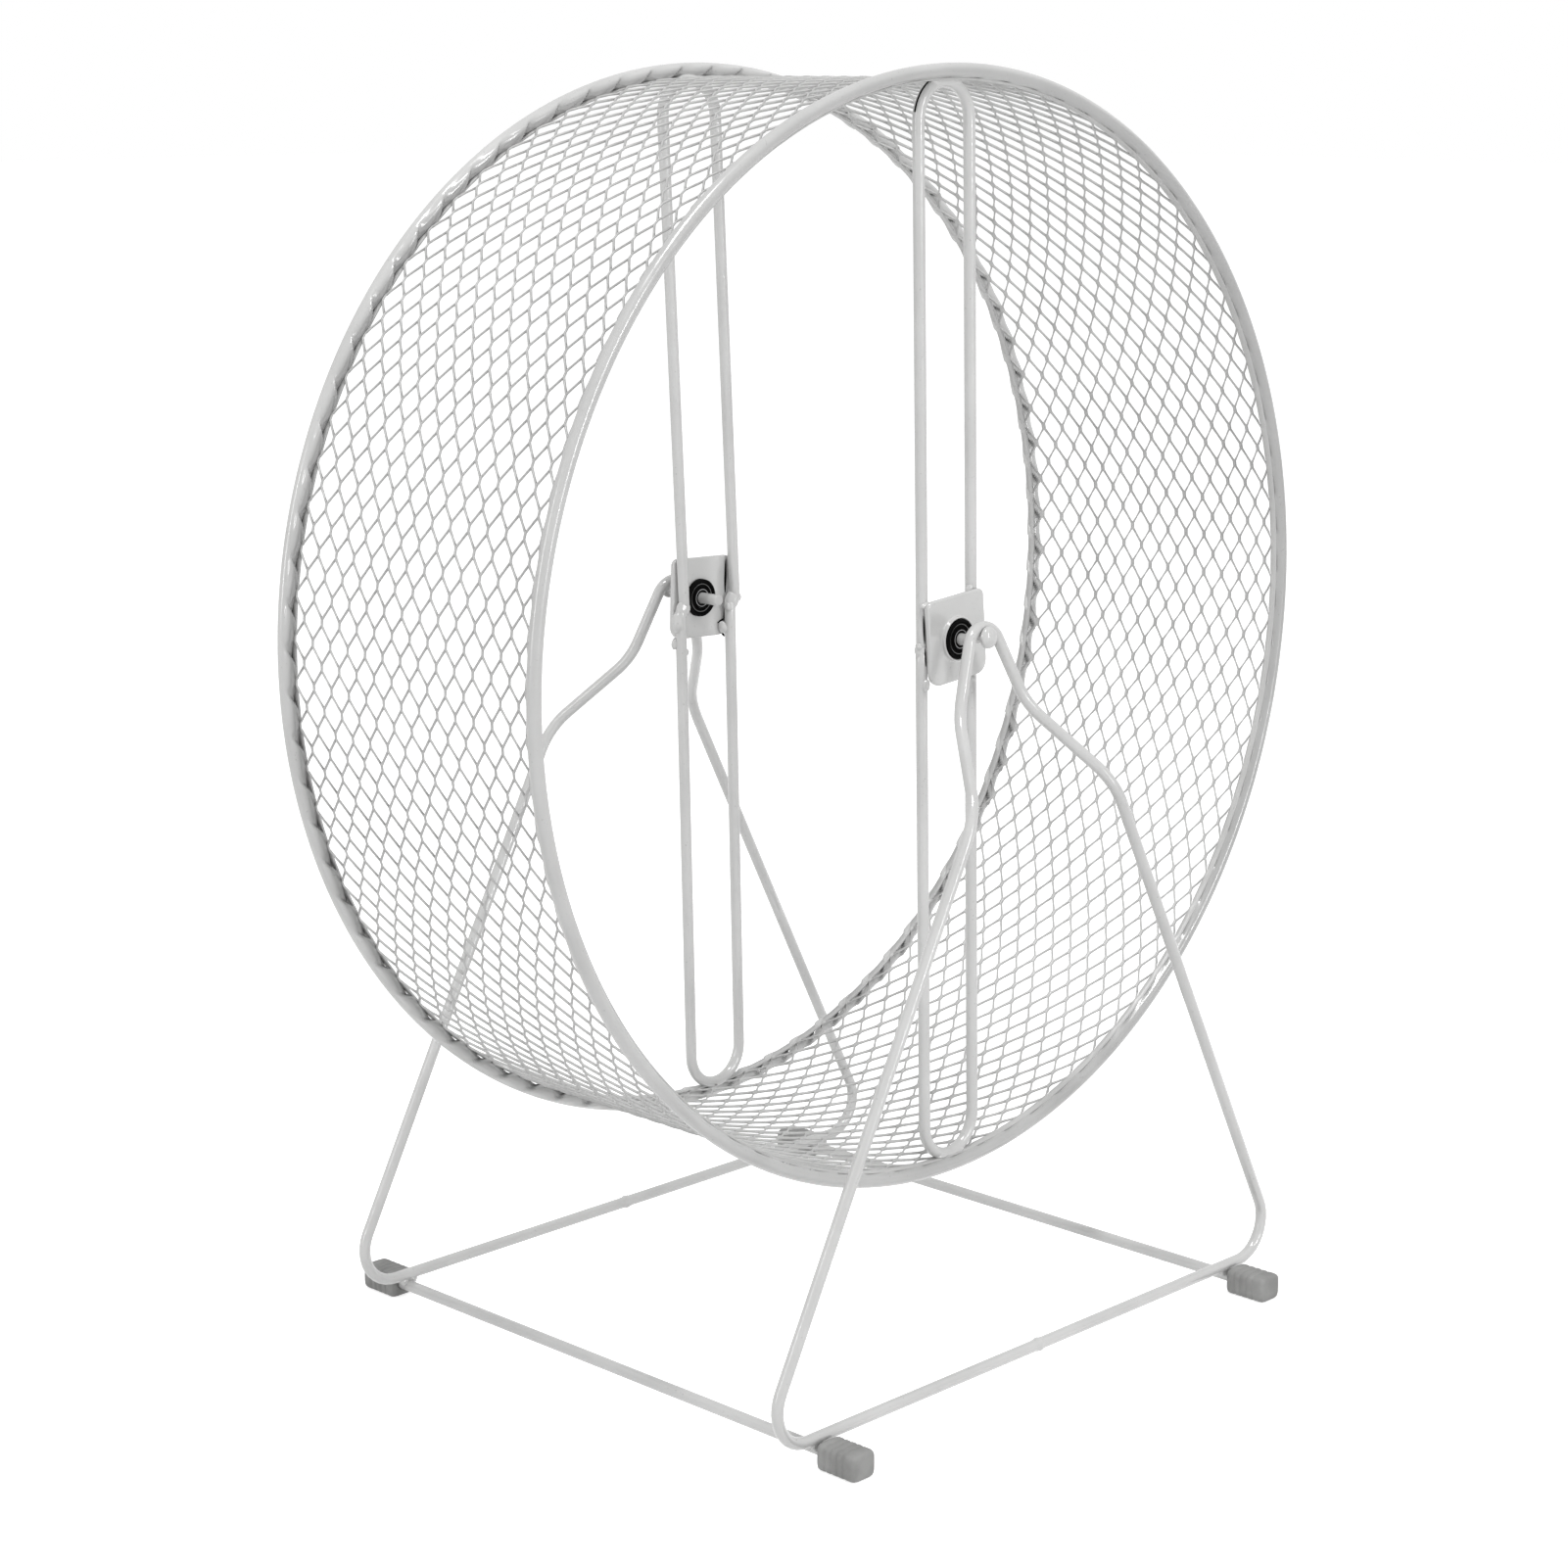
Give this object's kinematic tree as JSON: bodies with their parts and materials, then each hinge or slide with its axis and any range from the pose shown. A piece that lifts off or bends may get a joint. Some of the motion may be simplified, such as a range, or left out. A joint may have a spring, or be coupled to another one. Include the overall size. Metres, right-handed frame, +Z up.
{
  "type": "hamster wheel",
  "caption": "Free-standing pet exercise wheel: expanded-mesh drum with rim hoops and U-shaped wire struts, turning on small ball bearings between bent wire leg frames on floor runners.",
  "frame": {"origin": "on the floor, below the middle of the wheel: the middle of the bounding box's bottom face", "axes": "+Z up; Y along the axle, with the front at -Y; +X to the right seen from the front"},
  "size_m": [0.28, 0.182, 0.325],
  "materials": {
    "white_paint": "off-white powder coat, satin",
    "mesh_paint": "off-white powder coat on thin expanded metal, satin",
    "black_steel": "blackened bearing steel, ground faces",
    "bright_steel": "polished bearing steel",
    "black_rubber": "moulded rubber seal, matt",
    "grey_rubber": "moulded rubber, matt"
  },
  "bodies": {
    "stand": {"front_leg_frame": "white_paint", "rear_leg_frame": "white_paint", "left_runner": "white_paint", "right_runner": "white_paint", "front_left_foot": "grey_rubber", "front_right_foot": "grey_rubber", "rear_left_foot": "grey_rubber", "rear_right_foot": "grey_rubber", "front_axle_pin": "white_paint", "rear_axle_pin": "white_paint", "front_bearing_inner_ring": "black_steel", "rear_bearing_inner_ring": "black_steel"},
    "wheel": {"mesh_band": "mesh_paint", "front_rim_hoop": "white_paint", "rear_rim_hoop": "white_paint", "front_upper_strut": "white_paint", "front_lower_strut": "white_paint", "rear_upper_strut": "white_paint", "rear_lower_strut": "white_paint", "front_hub_plate": "white_paint", "rear_hub_plate": "white_paint", "front_bearing_outer_ring": "black_steel", "rear_bearing_outer_ring": "black_steel", "front_bearing_outer_seal": "black_rubber", "front_bearing_inner_seal": "black_rubber", "rear_bearing_outer_seal": "black_rubber", "rear_bearing_inner_seal": "black_rubber"},
    "front_ball_set": {"front_bearing_cage": "bright_steel", "front_ball_1": "bright_steel", "front_ball_2": "bright_steel", "front_ball_3": "bright_steel", "front_ball_4": "bright_steel", "front_ball_5": "bright_steel", "front_ball_6": "bright_steel", "front_ball_7": "bright_steel"},
    "rear_ball_set": {"rear_bearing_cage": "bright_steel", "rear_ball_1": "bright_steel", "rear_ball_2": "bright_steel", "rear_ball_3": "bright_steel", "rear_ball_4": "bright_steel", "rear_ball_5": "bright_steel", "rear_ball_6": "bright_steel", "rear_ball_7": "bright_steel"}
  },
  "joints": [
    {"name": "wheel_spin", "type": "hinge", "parent": "stand", "child": "wheel", "pos_m": [0, 0, 0.185], "axis": [0, 1, 0], "continuous": true},
    {"name": "front_ball_set_orbit", "type": "hinge", "parent": "stand", "child": "front_ball_set", "pos_m": [0, -0.046, 0.185], "axis": [0, 1, 0], "continuous": true},
    {"name": "rear_ball_set_orbit", "type": "hinge", "parent": "stand", "child": "rear_ball_set", "pos_m": [0, 0.046, 0.185], "axis": [0, 1, 0], "continuous": true}
  ],
  "couplings": [
    {"joint": "front_ball_set_orbit", "follows": "wheel_spin", "ratio": 0.6222},
    {"joint": "rear_ball_set_orbit", "follows": "wheel_spin", "ratio": 0.6222}
  ]
}
